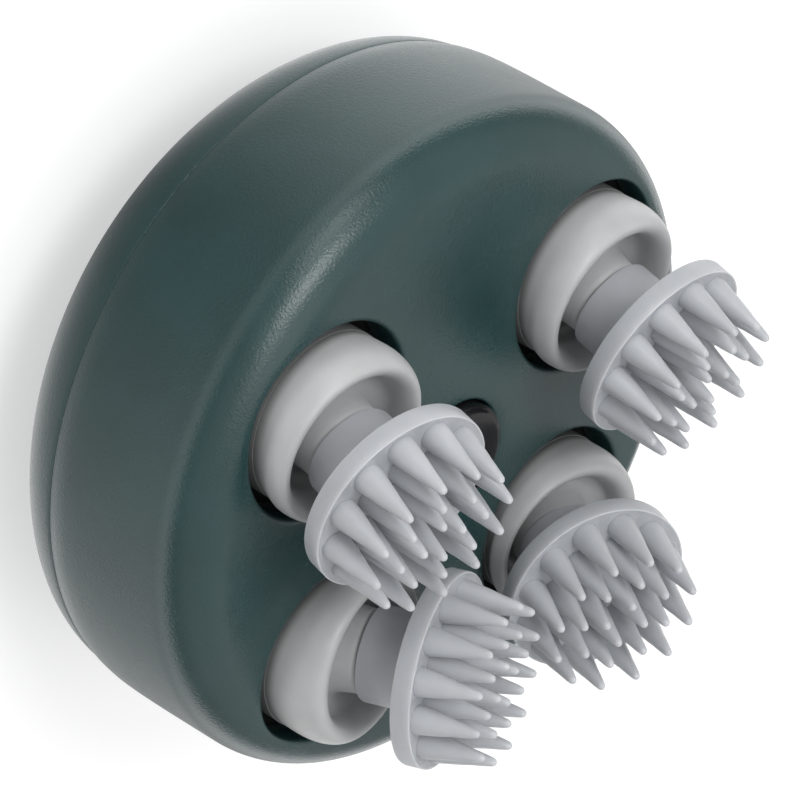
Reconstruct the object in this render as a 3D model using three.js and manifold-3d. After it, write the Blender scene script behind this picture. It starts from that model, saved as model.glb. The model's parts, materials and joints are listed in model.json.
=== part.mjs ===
// Electric scalp massager: a round hand-held body whose flat face carries four
// tilted massage heads on silicone boots. A geared drive inside makes the heads nutate.
// Millimetres, +Z up. The origin is the centre of the flat ring it rests on, heads up.

import * as THREE from "three";
import { mergeVertices } from "three/addons/utils/BufferGeometryUtils.js";
import Module from "manifold-3d";

const wasm = await Module();
wasm.setup();

// Fits
const GAP = 0.3; // between pieces that touch or nearly touch
const RUNNING = 0.3; // radial clearance of every shaft in its bore
const CUT_THROUGH = 1; // how far a cutting tool runs past the wall it cuts
const JOIN_OVERLAP = 0.4; // how deep two joined shapes of one moulding sink into each other

// Outer body
const BODY_RADIUS = 55;
const SEAM_INSET = 0.8; // of the seam inside the widest ring
const SEAM_HEIGHT = 22;
const FACE_HEIGHT = 51.4;
const FACE_CROWN = 0.2;
const RIM_FILLET = 8;
const SIDE_DRAFT = 0.3; // how much the side wall leans in between its widest ring and the rim
const WIDEST_HEIGHT = 4; // of the widest ring above the seam
const WALL = 2.4;
const REST_RADIUS = 17; // outside of the flat ring the body rests on
const SEAM_GAP = 0.3;

// Joint between cover and shell
const TONGUE_HEIGHT = 4;
const TONGUE_WALL = 2.4;
const SEAL_DEPTH = 1;
const SEAL_HEIGHT = 1.4;
const SEAL_LIFT = 1.2; // of the groove above the seam

// Power button and its light ring, in the middle of the rest face
const BUTTON_RADIUS = 7;
const BUTTON_RECESS = 0.7; // of the button's face above the rest face
const BUTTON_TRAVEL = 0.6;
const BUTTON_COLLAR = 1.8; // how far the retaining collar stands out
const BUTTON_COLLAR_HEIGHT = 1;
const LIGHT_RING_WIDTH = 2.6;
const LIGHT_RING_HEIGHT = 1.4;
const LIGHT_RING_RECESS = 0.4;
const BUTTON_WEB = 1.4; // thickness of the cover behind the light ring

// Heads on the face. Their holes fill the room between the charging cap and the rim.
const FRONT_HALF_ANGLE = 55; // of the front pair from +Y
const REAR_HALF_ANGLE = 45; // of the rear pair from -Y
const RIM_LAND = 5.85; // from a head's hole to the body's widest ring
const CAP_LAND = 7.45; // from the charging cap's flange to a head's hole
const NUTATION_DEPTH = 3.8; // below the face, where a head's tilted axis meets its crank's upright axis
const HOLE_COLLAR_WALL = 1.6;
const HOLE_COLLAR_HEIGHT = 3.4;

// Massage pad, measured along the head's axis from the nutation centre
const STEM_START = 8.8;
const STEM_RADIUS = 7.4;
const PAD_BACK = 17.7;
const PAD_OVERHANG = 0.6; // of the pad's rim past the boot's drum
const PAD_THICKNESS = 2.9;
const CONE_LENGTH = 9.9;
const CONE_BASE_RADIUS = 2.15;
const CONE_TIP_RADIUS = 0.55;
const CONE_INSET = 3.2; // of the outer ring of cones from the pad's rim
const CONE_RINGS = [
  { count: 12, share: 1 }, // share of the outer ring's radius
  { count: 8, share: 0.637 },
  { count: 4, share: 0.291 },
];

// Head hub, which runs on the crank pin inside the pad
const HUB_RADIUS = 5.4;
const HUB_BOTTOM = -4.5;
const HUB_FLANGE_RADIUS = 9;
const PAD_FRONT_SKIN = 0.9; // silicone in front of the hub's flange
const PAD_BACK_SKIN = 0.7; // silicone behind it

// Crank: an upright gear with a tilted steel pin
const PIN_RADIUS = 2.4;
const PIN_TOP = 15;
const PIN_BOTTOM = -11.5;
const JOURNAL_RADIUS = 3;
const CRANK_BOSS_RADIUS = 8.6;
const CRANK_BOSS_RISE = 0.6; // of the boss into its window in the gearbox cover

// Silicone boot
const BOOT_HOLE_GAP = 1.1; // round the boot's drum in its hole
const BOOT_SKIN = 1;
const BOOT_STAND = 5.7; // of the boot's crest above the face
const BOOT_CREST_RISE = 3.8; // of the crest above the drum's shoulder
const BOOT_FUNNEL_SHARE = 3 / 11; // of the room round the neck that the funnel's floor takes
const BOOT_SPLIT_DEPTH = 1.8; // below the face, where the clamped root ends and the flexing part starts
const BOOT_NECK_WALL = 2;
const BOOT_NECK_BOTTOM = 2.8; // along the head's axis
const BOOT_ROOT_THICKNESS = 1.3;

// Gearing. The sun gear meshes with all four crank gears, which sets the module.
const SUN_TEETH = 25;
const CRANK_TEETH = 20;
const INPUT_TEETH = 32;
const PINION_TEETH = 8;
const BACKLASH = 0.3;
const GEAR_THICKNESS = 4;
const GEAR_HEADROOM = 1.6; // above the crank gears
const INPUT_THICKNESS = 2.8;
const INPUT_HEADROOM = 0.8; // between the drive gear's two rims
const AXLE_RADIUS = 3;
const SUN_HUB_RADIUS = 7;

// Gearbox plates
const BASE_PLATE_THICKNESS = 2;
const BASE_PLATE_HEADROOM = 1.3; // between the base plate and the drive gear
const COVER_PLATE_THICKNESS = 2;
const PLATE_CLEARANCE = 0.4; // round the plates inside the cover's tongue
const BEARING_WALL = 1.9;
const BEARING_BOSS_WALL = 1.1;
const BEARING_HEADROOM = 1.5; // between the bearing and its crank gear
const CRANK_WINDOW_GAP = 1.2; // round the crank's boss
const BOOT_RIB_WALL = 2;
const BOOT_RIB_HEIGHT = 2.5;
const PILLAR_RADIUS = 2.6;
const PILLAR_ANGLES = [0, 90, 180, 257, 283];
const PILLAR_INSET = 6.7; // of the pillars inside the screw posts

// Screw posts
const POST_INSET = 2.3; // of the screw posts inside the plates' edge
const POST_RADIUS = 3.1;
const POST_ANGLES = [0, 90, 180, 270];
const SCREW_RADIUS = 1.2;
const SCREW_HEAD_RADIUS = 2.3;
const SCREW_HEAD_HEIGHT = 1.4;
const SCREW_LENGTH = 9;

// Motor
const MOTOR_RADIUS = 12.2;
const MOTOR_BOARD_GAP = 4.4; // between the motor and the board
const MOTOR_NOSE_RADIUS = 3;
const MOTOR_NOSE_HEIGHT = 1.4;
const MOTOR_SHAFT_RADIUS = 1;
const MOTOR_SHAFT_SINK = 6; // how deep the shaft runs into the motor

// Electronics
const BOARD_RADIUS = 26;
const BOARD_FLOOR = 7.6;
const BOARD_THICKNESS = 1.6;
const BOARD_POST_RADIUS = 2.4;
const BOARD_POST_CIRCLE_RADIUS = 22;
const BOARD_POST_ANGLES = [90, 200, 340];
const SWITCH_SIZE = 6;
const SWITCH_CLEARANCE = 0.3; // left under the switch when the button is pressed home
const BATTERY_SIZE = [40, 22, 8];
const BATTERY_CENTRE_Y = 8;
const BATTERY_CORNER = 2;

// Charging cap in the middle of the face
const CAP_RADIUS = 8.7;
const CAP_BEVEL = 1.1;
const CAP_RISE = 1.7; // of the cap's top above the face
const CAP_FLANGE = 2.2; // how far the flange stands out
const CAP_FLANGE_HEIGHT = 2;
const CONTACT_RADIUS = 1.1;
const CONTACT_SPACING = 6.4;
const CONTACT_PROUD = 0.3;
const CAP_PILLAR_WALL = 1.6;

// Facets
const BODY_SIDES = 36;
const HOLE_SIDES = 24;
const HEAD_SIDES = 20;
const SHAFT_SIDES = 12;
const SCREW_SIDES = 8;
const CONE_SIDES = 5;

// Colours
const LOOKS = {
  housing: { color: 0x3f4e4e, roughness: 0.45 },
  silicone: { color: 0xa8aaae, roughness: 0.55 },
  black: { color: 0x232324, roughness: 0.2 },
  frame: { color: 0xd8d6cf, roughness: 0.6 },
  gear: { color: 0xeeece4, roughness: 0.5 },
  steel: { color: 0xb9bcc0, roughness: 0.3, metalness: 1 },
  gold: { color: 0xd8b05a, roughness: 0.3, metalness: 1 },
  board: { color: 0x1f6b3a, roughness: 0.5 },
  cell: { color: 0x3a62a8, roughness: 0.5 },
  light: { color: 0xf2f4f2, roughness: 0.4 },
  rubber: { color: 0x1b1b1c, roughness: 0.8 },
};

const RAD = Math.PI / 180;

// A geometry with shared vertices, no flat triangles and its faces pointing out.
function weld(geometry) {
  const bare = geometry.clone();
  bare.deleteAttribute("normal");
  bare.deleteAttribute("uv");
  const merged = mergeVertices(bare, 1e-4);
  const corners = merged.index.array;
  const kept = [];
  for (let i = 0; i < corners.length; i += 3) {
    const [a, b, c] = [corners[i], corners[i + 1], corners[i + 2]];
    if (a !== b && b !== c && c !== a) kept.push(a, b, c);
  }
  merged.setIndex(kept);
  if (signedVolume(merged) < 0) kept.reverse();
  merged.setIndex(kept);
  return merged;
}

function signedVolume(geometry) {
  const p = geometry.attributes.position;
  const [a, b, c] = [new THREE.Vector3(), new THREE.Vector3(), new THREE.Vector3()];
  const corners = geometry.index.array;
  let volume = 0;
  for (let i = 0; i < corners.length; i += 3) {
    a.fromBufferAttribute(p, corners[i]);
    b.fromBufferAttribute(p, corners[i + 1]);
    c.fromBufferAttribute(p, corners[i + 2]);
    volume += a.dot(b.cross(c)) / 6;
  }
  return volume;
}

function solid(geometry) {
  const welded = weld(geometry);
  return new wasm.Manifold(
    new wasm.Mesh({
      numProp: 3,
      vertProperties: new Float32Array(welded.attributes.position.array),
      triVerts: new Uint32Array(welded.index.array),
    }),
  );
}

function geometryOf(manifold) {
  const mesh = manifold.getMesh();
  const geometry = new THREE.BufferGeometry();
  geometry.setAttribute("position", new THREE.BufferAttribute(mesh.vertProperties, mesh.numProp));
  geometry.setIndex(new THREE.BufferAttribute(mesh.triVerts, 1));
  geometry.computeVertexNormals();
  return geometry;
}

// A profile of [radius, height] points turned about Z.
function turned(profile, sides) {
  const points = profile.map(([radius, height]) => new THREE.Vector2(Math.max(radius, 0), height));
  return new THREE.LatheGeometry(points, sides).rotateX(Math.PI / 2);
}

// A closed profile, such as a ring's or a shell's.
function turnedRing(profile, sides) {
  return turned([...profile, profile[0]], sides);
}

function cylinder(radius, floor, top, sides) {
  return turned([[0, floor], [radius, floor], [radius, top], [0, top]], sides);
}

function tube(inner, outer, floor, top, sides) {
  return turnedRing([[inner, floor], [outer, floor], [outer, top], [inner, top]], sides);
}

function polar(radius, degrees) {
  return [radius * Math.cos(degrees * RAD), radius * Math.sin(degrees * RAD)];
}

function at(geometry, x, y, z = 0) {
  return geometry.translate(x, y, z);
}

function join(...geometries) {
  return geometries.map(solid).reduce((whole, piece) => whole.add(piece));
}

function cut(whole, ...geometries) {
  return geometries.map(solid).reduce((rest, tool) => rest.subtract(tool), whole);
}

function arc(centreR, centreZ, radiusR, radiusZ, from, to, steps) {
  const points = [];
  for (let i = 0; i <= steps; i += 1) {
    const angle = (from + ((to - from) * i) / steps) * RAD;
    points.push([centreR + radiusR * Math.cos(angle), centreZ + radiusZ * Math.sin(angle)]);
  }
  return points;
}

function node(name, geometry, look) {
  const mesh = new THREE.Mesh(geometry, new THREE.MeshStandardMaterial(LOOKS[look]));
  mesh.name = name;
  return mesh;
}

// The four heads: where each stands, how far it tilts, which way it leans at rest
// and how far its cone pattern is turned.
const HEADS = [
  { name: "front_left", angle: 90 + FRONT_HALF_ANGLE, tilt: 12.4, lean: -121.7, turn: 45 },
  { name: "front_right", angle: 90 - FRONT_HALF_ANGLE, tilt: 14.5, lean: -95.4, turn: 32.7 },
  { name: "rear_right", angle: -90 + REAR_HALF_ANGLE, tilt: 20.5, lean: -171.6, turn: 67.7 },
  { name: "rear_left", angle: -90 - REAR_HALF_ANGLE, tilt: 20.5, lean: 11.6, turn: 81.9 },
];

// In plan, from the body's widest ring inwards
const SEAM_RADIUS = BODY_RADIUS - SEAM_INSET;
const SHELL_INNER_RADIUS = BODY_RADIUS - WALL;
const PLATE_RADIUS = SHELL_INNER_RADIUS - GAP - TONGUE_WALL - PLATE_CLEARANCE;
const POST_CIRCLE_RADIUS = PLATE_RADIUS - POST_INSET;
const PILLAR_CIRCLE_RADIUS = POST_CIRCLE_RADIUS - PILLAR_INSET;
const CAP_HOLE_RADIUS = CAP_RADIUS + GAP;
const CAP_FLANGE_RADIUS = CAP_RADIUS + CAP_FLANGE;
const HEAD_HOLE_RADIUS = (BODY_RADIUS - RIM_LAND - CAP_LAND - CAP_FLANGE_RADIUS) / 2;
const HEAD_CIRCLE_RADIUS = CAP_FLANGE_RADIUS + CAP_LAND + HEAD_HOLE_RADIUS;
const GEAR_MODULE = (2 * HEAD_CIRCLE_RADIUS) / (SUN_TEETH + CRANK_TEETH);
const INPUT_DISTANCE = (GEAR_MODULE * (INPUT_TEETH + PINION_TEETH)) / 2;
const BOOT_RADIUS = HEAD_HOLE_RADIUS - BOOT_HOLE_GAP;
const BOOT_NECK_RADIUS = HUB_RADIUS + GAP + BOOT_NECK_WALL;
const BOOT_MOUTH_RADIUS = BOOT_NECK_RADIUS + (BOOT_RADIUS - BOOT_NECK_RADIUS) * BOOT_FUNNEL_SHARE;
const BOOT_FLANGE_RADIUS = HEAD_HOLE_RADIUS + HOLE_COLLAR_WALL - GAP;
const PAD_RADIUS = BOOT_RADIUS + PAD_OVERHANG;
const CONE_CIRCLE_RADIUS = PAD_RADIUS - CONE_INSET;
const BEARING_RADIUS = JOURNAL_RADIUS + RUNNING + BEARING_WALL;
const BEARING_BOSS_RADIUS = BEARING_RADIUS + GAP + BEARING_BOSS_WALL;
const CRANK_WINDOW_RADIUS = CRANK_BOSS_RADIUS + CRANK_WINDOW_GAP;
const FILLET_CENTRE_R = BODY_RADIUS - SIDE_DRAFT - RIM_FILLET;

// Upwards, from the face down to the motor
const FILLET_CENTRE_Z = FACE_HEIGHT - FACE_CROWN - RIM_FILLET;
const FACE_INSIDE = FACE_HEIGHT - FACE_CROWN - WALL;
const NUTATION_HEIGHT = FACE_HEIGHT - NUTATION_DEPTH;
const BOOT_CREST_HEIGHT = FACE_HEIGHT + BOOT_STAND;
const BOOT_SHOULDER_HEIGHT = BOOT_CREST_HEIGHT - BOOT_CREST_RISE;
const BOOT_SPLIT_HEIGHT = FACE_HEIGHT - BOOT_SPLIT_DEPTH;
const HOLE_COLLAR_FLOOR = FACE_INSIDE - HOLE_COLLAR_HEIGHT;
const BOOT_RIB_TOP = HOLE_COLLAR_FLOOR - BOOT_ROOT_THICKNESS - 2 * GAP;
const BOOT_FLANGE_FLOOR = BOOT_RIB_TOP + GAP;
const COVER_PLATE_TOP = BOOT_RIB_TOP - BOOT_RIB_HEIGHT;
const COVER_PLATE_FLOOR = COVER_PLATE_TOP - COVER_PLATE_THICKNESS;
const CRANK_BOSS_TOP = COVER_PLATE_FLOOR + CRANK_BOSS_RISE;
const GEAR_FLOOR = COVER_PLATE_FLOOR - GEAR_HEADROOM - GEAR_THICKNESS;
const INPUT_FLOOR = GEAR_FLOOR - INPUT_HEADROOM - INPUT_THICKNESS;
const BASE_PLATE_TOP = INPUT_FLOOR - BASE_PLATE_HEADROOM;
const BASE_PLATE_FLOOR = BASE_PLATE_TOP - BASE_PLATE_THICKNESS;
const BEARING_HEIGHT = GEAR_FLOOR - BEARING_HEADROOM - BASE_PLATE_FLOOR;
const BOARD_TOP = BOARD_FLOOR + BOARD_THICKNESS;
const MOTOR_FLOOR = BOARD_TOP + MOTOR_BOARD_GAP;
const LIGHT_RING_RADIUS = BUTTON_RADIUS + GAP + LIGHT_RING_WIDTH;
const BUTTON_WEB_FLOOR = LIGHT_RING_RECESS + LIGHT_RING_HEIGHT + GAP;
const BUTTON_WEB_TOP = BUTTON_WEB_FLOOR + BUTTON_WEB;
const BUTTON_COLLAR_FLOOR = BUTTON_WEB_TOP + GAP;
const BUTTON_TOP = BUTTON_COLLAR_FLOOR + BUTTON_COLLAR_HEIGHT;

// The dome's outside is part of an ellipse that meets the rest face at REST_RADIUS.
const DOME_DEPTH = SEAM_HEIGHT / Math.sqrt(1 - (REST_RADIUS / SEAM_RADIUS) ** 2);

function domeProfile(inset, fromRadius, steps) {
  const radius = SEAM_RADIUS - inset;
  const depth = DOME_DEPTH - inset;
  const start = Math.acos(fromRadius / radius) / RAD;
  return arc(0, SEAM_HEIGHT, radius, depth, -start, 0, steps);
}

// Outside of the main shell, from the seam to the middle of the face.
function shellOutside() {
  const draftStart = SEAM_HEIGHT + WIDEST_HEIGHT;
  return [
    [SEAM_RADIUS, SEAM_HEIGHT + SEAM_GAP],
    [(SEAM_RADIUS + BODY_RADIUS) / 2 + 0.15, SEAM_HEIGHT + SEAM_GAP + WIDEST_HEIGHT / 3],
    [BODY_RADIUS, draftStart],
    ...arc(FILLET_CENTRE_R, FILLET_CENTRE_Z, RIM_FILLET, RIM_FILLET, 0, 90, 5),
    [0, FACE_HEIGHT],
  ];
}

function backCover() {
  const lip = SEAM_HEIGHT + TONGUE_HEIGHT;
  const tongueOuter = SHELL_INNER_RADIUS - GAP;
  const tongueInner = tongueOuter - TONGUE_WALL;
  const groove = SEAM_HEIGHT + SEAL_LIFT;
  const grooveRadius = tongueOuter - SEAL_DEPTH;
  const recess = LIGHT_RING_RADIUS + GAP;
  const inside = domeProfile(WALL, LIGHT_RING_RADIUS + WALL, 4).reverse();
  inside[0] = [tongueInner, SEAM_HEIGHT];
  const profile = [
    [recess, 0],
    ...domeProfile(0, REST_RADIUS, 6),
    [tongueOuter, SEAM_HEIGHT],
    [tongueOuter, groove],
    [grooveRadius, groove],
    [grooveRadius, groove + SEAL_HEIGHT],
    [tongueOuter, groove + SEAL_HEIGHT],
    [tongueOuter, lip],
    [tongueInner, lip],
    ...inside,
    [LIGHT_RING_RADIUS + WALL - GAP, BUTTON_WEB_TOP],
    [BUTTON_RADIUS + RUNNING, BUTTON_WEB_TOP],
    [BUTTON_RADIUS + RUNNING, BUTTON_WEB_FLOOR],
    [recess, BUTTON_WEB_FLOOR],
  ];
  const posts = BOARD_POST_ANGLES.map((angle) => {
    const [x, y] = polar(BOARD_POST_CIRCLE_RADIUS, angle);
    return at(cylinder(BOARD_POST_RADIUS, WALL, BOARD_FLOOR - GAP, SHAFT_SIDES), x, y);
  });
  const holes = BOARD_POST_ANGLES.map((angle) => {
    const [x, y] = polar(BOARD_POST_CIRCLE_RADIUS, angle);
    return at(cylinder(SCREW_RADIUS + GAP, WALL + 1.2, BOARD_FLOOR, SCREW_SIDES), x, y);
  });
  return geometryOf(cut(join(turnedRing(profile, BODY_SIDES), ...posts), ...holes));
}

function sealRing() {
  const floor = SEAM_HEIGHT + SEAL_LIFT + GAP / 2;
  const outer = SHELL_INNER_RADIUS - GAP;
  const inner = outer - SEAL_DEPTH + GAP;
  return weld(tube(inner, outer, floor, floor + SEAL_HEIGHT - GAP, BODY_SIDES));
}

function mainShell() {
  const inset = RIM_FILLET - WALL;
  const outside = shellOutside();
  const profile = [
    ...outside,
    [0, FACE_INSIDE],
    ...arc(FILLET_CENTRE_R, FILLET_CENTRE_Z, inset, inset, 90, 0, 3),
    [SHELL_INNER_RADIUS, SEAM_HEIGHT + SEAM_GAP],
  ];
  const filled = solid(turned([[0, SEAM_HEIGHT + SEAM_GAP], ...outside], BODY_SIDES));
  let shell = solid(turnedRing(profile, BODY_SIDES));
  for (const head of HEADS) {
    const [x, y] = polar(HEAD_CIRCLE_RADIUS, head.angle);
    const outer = HEAD_HOLE_RADIUS + HOLE_COLLAR_WALL;
    const collar = solid(at(cylinder(outer, HOLE_COLLAR_FLOOR, FACE_INSIDE + JOIN_OVERLAP, HOLE_SIDES), x, y));
    shell = shell.add(collar.intersect(filled));
  }
  const capCollar = cylinder(
    CAP_HOLE_RADIUS + WALL, FACE_INSIDE - JOIN_OVERLAP, FACE_INSIDE + JOIN_OVERLAP, HEAD_SIDES);
  shell = shell.add(solid(capCollar));
  for (const angle of POST_ANGLES) {
    const [x, y] = polar(POST_CIRCLE_RADIUS, angle);
    const post = cylinder(POST_RADIUS, BASE_PLATE_TOP + GAP, FACE_INSIDE, SCREW_SIDES);
    shell = shell.add(solid(at(post, x, y)).intersect(filled));
  }
  const tools = [cylinder(CAP_HOLE_RADIUS, FACE_INSIDE - WALL, FACE_HEIGHT + CUT_THROUGH, HEAD_SIDES)];
  for (const head of HEADS) {
    const [x, y] = polar(HEAD_CIRCLE_RADIUS, head.angle);
    const floor = HOLE_COLLAR_FLOOR - CUT_THROUGH;
    tools.push(at(cylinder(HEAD_HOLE_RADIUS, floor, FACE_HEIGHT + CUT_THROUGH, HOLE_SIDES), x, y));
  }
  for (const angle of POST_ANGLES) {
    const [x, y] = polar(POST_CIRCLE_RADIUS, angle);
    const hole = cylinder(SCREW_RADIUS + GAP, BASE_PLATE_FLOOR, BASE_PLATE_FLOOR + SCREW_LENGTH + GAP, SCREW_SIDES);
    tools.push(at(hole, x, y));
  }
  return geometryOf(cut(shell, ...tools));
}

function lightRing() {
  const inner = BUTTON_RADIUS + RUNNING;
  return weld(tube(inner, LIGHT_RING_RADIUS, LIGHT_RING_RECESS, LIGHT_RING_RECESS + LIGHT_RING_HEIGHT, HOLE_SIDES));
}

function powerButton() {
  const dish = 0.3;
  return weld(turned([
    [0, BUTTON_RECESS + dish],
    [BUTTON_RADIUS * 0.7, BUTTON_RECESS + dish / 2],
    [BUTTON_RADIUS - 0.5, BUTTON_RECESS],
    [BUTTON_RADIUS, BUTTON_RECESS + 0.4],
    [BUTTON_RADIUS, BUTTON_COLLAR_FLOOR],
    [BUTTON_RADIUS + BUTTON_COLLAR, BUTTON_COLLAR_FLOOR],
    [BUTTON_RADIUS + BUTTON_COLLAR, BUTTON_TOP],
    [0, BUTTON_TOP],
  ], HOLE_SIDES));
}

function mainBoard() {
  const holes = BOARD_POST_ANGLES.map((angle) => {
    const [x, y] = polar(BOARD_POST_CIRCLE_RADIUS, angle);
    return at(cylinder(SCREW_RADIUS + GAP, BOARD_FLOOR - 1, BOARD_TOP + 1, SCREW_SIDES), x, y);
  });
  return geometryOf(cut(join(cylinder(BOARD_RADIUS, BOARD_FLOOR, BOARD_TOP, HOLE_SIDES)), ...holes));
}

function tactSwitch() {
  const floor = BUTTON_TOP + BUTTON_TRAVEL + SWITCH_CLEARANCE;
  const bodyFloor = floor + 0.5;
  const top = BOARD_FLOOR - GAP;
  const body = new THREE.BoxGeometry(SWITCH_SIZE, SWITCH_SIZE, top - bodyFloor);
  const plunger = cylinder(SWITCH_SIZE / 4, floor, bodyFloor + JOIN_OVERLAP, SHAFT_SIDES);
  return geometryOf(join(at(body, 0, 0, (top + bodyFloor) / 2), plunger));
}

function battery() {
  const [length, width, height] = BATTERY_SIZE;
  const [x, y, r] = [length / 2, width / 2, BATTERY_CORNER];
  const outline = new THREE.Shape();
  outline.absarc(x - r, y - r, r, 0, Math.PI / 2);
  outline.absarc(-x + r, y - r, r, Math.PI / 2, Math.PI);
  outline.absarc(-x + r, -y + r, r, Math.PI, 1.5 * Math.PI);
  outline.absarc(x - r, -y + r, r, 1.5 * Math.PI, 2 * Math.PI);
  const pack = new THREE.ExtrudeGeometry(outline, { depth: height, bevelEnabled: false, curveSegments: 3 });
  return weld(at(pack, 0, BATTERY_CENTRE_Y, BOARD_TOP + GAP));
}

function motor() {
  const top = BASE_PLATE_FLOOR - GAP;
  const floor = MOTOR_FLOOR;
  const can = turned([
    [0, floor - 1],
    [MOTOR_NOSE_RADIUS, floor - 1],
    [MOTOR_NOSE_RADIUS, floor],
    [MOTOR_RADIUS - 1, floor],
    [MOTOR_RADIUS, floor + 1],
    [MOTOR_RADIUS, top],
    [MOTOR_NOSE_RADIUS, top],
    [MOTOR_NOSE_RADIUS, top + MOTOR_NOSE_HEIGHT],
    [0, top + MOTOR_NOSE_HEIGHT],
  ], HEAD_SIDES);
  const bore = cylinder(
    MOTOR_SHAFT_RADIUS + RUNNING, top - MOTOR_SHAFT_SINK - GAP, top + MOTOR_NOSE_HEIGHT + CUT_THROUGH, SCREW_SIDES);
  return geometryOf(cut(join(can), bore)).translate(0, -INPUT_DISTANCE, 0);
}

// Spur gear with straight-flanked teeth that keep BACKLASH at the pitch circle.
function gearShape(teeth, phase) {
  const pitch = (GEAR_MODULE * teeth) / 2;
  const tip = pitch + GEAR_MODULE * 0.92;
  const root = pitch - GEAR_MODULE * 1.25;
  const half = Math.PI / 2 / teeth - BACKLASH / 2 / pitch;
  const slope = Math.tan(20 * RAD);
  const tipHalf = half - ((tip - pitch) * slope) / pitch;
  const rootHalf = Math.min(half + ((pitch - root) * slope) / pitch, Math.PI / teeth - 0.02);
  const shape = new THREE.Shape();
  for (let i = 0; i < teeth; i += 1) {
    const middle = phase * RAD + (2 * Math.PI * i) / teeth;
    const corners = [[root, -rootHalf], [tip, -tipHalf], [tip, tipHalf], [root, rootHalf]];
    for (const [radius, offset] of corners) {
      const [x, y] = [radius * Math.cos(middle + offset), radius * Math.sin(middle + offset)];
      if (shape.curves.length === 0 && shape.currentPoint.length() === 0) shape.moveTo(x, y);
      else shape.lineTo(x, y);
    }
  }
  shape.closePath();
  return shape;
}

function gear(teeth, phase, floor, thickness) {
  const rim = new THREE.ExtrudeGeometry(gearShape(teeth, phase), { depth: thickness, bevelEnabled: false });
  return at(rim, 0, 0, floor);
}

// Turn of a gear standing at an angle round a driver whose first tooth points along +X,
// so that its gap faces the driver's tooth.
function meshPhase(angle, driverTeeth, teeth) {
  const fraction = ((angle * driverTeeth) / 360) % 1;
  return angle + 180 - ((0.5 - fraction) * 360) / teeth;
}

function driveGear() {
  const whole = join(
    gear(INPUT_TEETH, 0, INPUT_FLOOR, INPUT_THICKNESS),
    cylinder(SUN_HUB_RADIUS, INPUT_FLOOR, GEAR_FLOOR + GEAR_THICKNESS, HEAD_SIDES),
    gear(SUN_TEETH, 0, GEAR_FLOOR, GEAR_THICKNESS),
  );
  const bore = cylinder(
    AXLE_RADIUS + RUNNING, INPUT_FLOOR - CUT_THROUGH, GEAR_FLOOR + GEAR_THICKNESS + CUT_THROUGH, SHAFT_SIDES);
  return geometryOf(cut(whole, bore));
}

function driveAxle() {
  return weld(cylinder(AXLE_RADIUS, BASE_PLATE_FLOOR, COVER_PLATE_FLOOR + COVER_PLATE_THICKNESS / 2, SHAFT_SIDES));
}

function motorPinion() {
  const floor = INPUT_FLOOR - GAP;
  const phase = meshPhase(-90, INPUT_TEETH, PINION_TEETH);
  const shaftFloor = BASE_PLATE_FLOOR - GAP - MOTOR_SHAFT_SINK;
  const whole = join(
    gear(PINION_TEETH, phase, floor, INPUT_THICKNESS + GAP),
    cylinder(MOTOR_SHAFT_RADIUS, shaftFloor, floor + JOIN_OVERLAP, SCREW_SIDES),
  );
  return geometryOf(whole).translate(0, -INPUT_DISTANCE, 0);
}

function gearboxBase() {
  const boss = (x, y) => at(
    cylinder(BEARING_BOSS_RADIUS, BASE_PLATE_FLOOR + GAP, BASE_PLATE_FLOOR + BEARING_HEIGHT, SHAFT_SIDES), x, y);
  const places = HEADS.map((head) => polar(HEAD_CIRCLE_RADIUS, head.angle));
  const plate = cylinder(PLATE_RADIUS, BASE_PLATE_FLOOR, BASE_PLATE_TOP, BODY_SIDES);
  const whole = join(plate, ...places.map(([x, y]) => boss(x, y)));
  const through = (radius, x, y, sides) => at(
    cylinder(radius, BASE_PLATE_FLOOR - CUT_THROUGH, BASE_PLATE_FLOOR + BEARING_HEIGHT + CUT_THROUGH, sides), x, y);
  return geometryOf(cut(
    whole,
    ...places.map(([x, y]) => through(BEARING_RADIUS + GAP, x, y, SHAFT_SIDES)),
    through(AXLE_RADIUS + GAP, 0, 0, SHAFT_SIDES),
    through(MOTOR_NOSE_RADIUS + GAP, 0, -INPUT_DISTANCE, SHAFT_SIDES),
    ...POST_ANGLES.map((angle) => through(SCREW_RADIUS + GAP, ...polar(POST_CIRCLE_RADIUS, angle), SCREW_SIDES)),
  ));
}

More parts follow.
